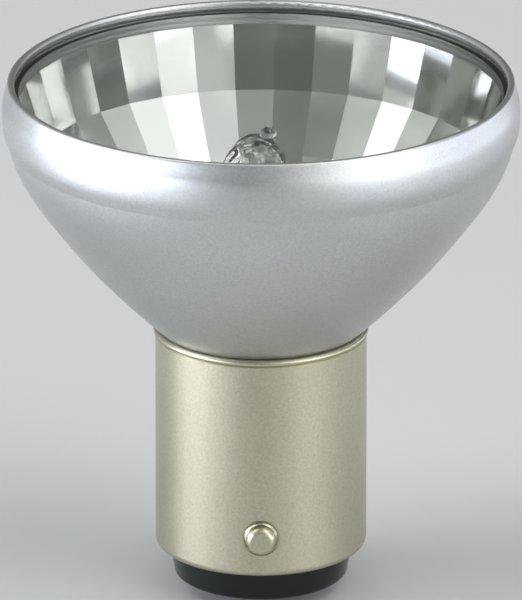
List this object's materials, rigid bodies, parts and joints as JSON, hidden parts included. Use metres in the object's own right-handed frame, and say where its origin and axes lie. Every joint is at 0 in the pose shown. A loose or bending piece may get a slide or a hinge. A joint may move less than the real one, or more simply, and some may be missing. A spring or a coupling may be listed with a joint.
{
  "type": "reflector bulb",
  "caption": "Halogen lamp with a faceted aluminium reflector bowl, a clear front glass and a bayonet cap with contacts at its foot.",
  "frame": {"origin": "centre of the plane of the two contact faces, on the lamp's axis", "axes": "+Z along the lamp's axis towards its front glass; the contacts lie along X and the bayonet pins along Y, the front one on -Y"},
  "size_m": [0.037, 0.037, 0.0384],
  "materials": {
    "reflector": "satin outside, bright facets inside",
    "cover_glass": "clear, polished",
    "quartz": "clear, fire polished",
    "tungsten": "drawn wire",
    "foil": "rolled foil",
    "pin_metal": "drawn wire",
    "cement": "matt, cast",
    "wire": "tinned",
    "sleeving": "woven",
    "cap": "satin nickel plate",
    "bayonet_pin": "satin nickel plate",
    "insulator": "glossy black",
    "eyelet": "tinned",
    "solder": "as soldered"
  },
  "bodies": {
    "root": {"reflector": "reflector", "cover_glass": "cover_glass", "capsule_envelope": "quartz", "filament": "tungsten", "filament_lead_left": "tungsten", "filament_lead_right": "tungsten", "foil_left": "foil", "foil_right": "foil", "capsule_pin_left": "pin_metal", "capsule_pin_right": "pin_metal", "cement_plug": "cement", "crimp_sleeve_left": "pin_metal", "crimp_sleeve_right": "pin_metal", "lead_wire_left": "wire", "lead_wire_right": "wire", "insulating_sleeve_left": "sleeving", "insulating_sleeve_right": "sleeving", "cap_shell": "cap", "bayonet_pin_front": "bayonet_pin", "bayonet_pin_rear": "bayonet_pin", "insulator": "insulator", "contact_eyelet_left": "eyelet", "contact_eyelet_right": "eyelet", "solder_tip_left": "solder", "solder_tip_right": "solder"}
  },
  "joints": []
}
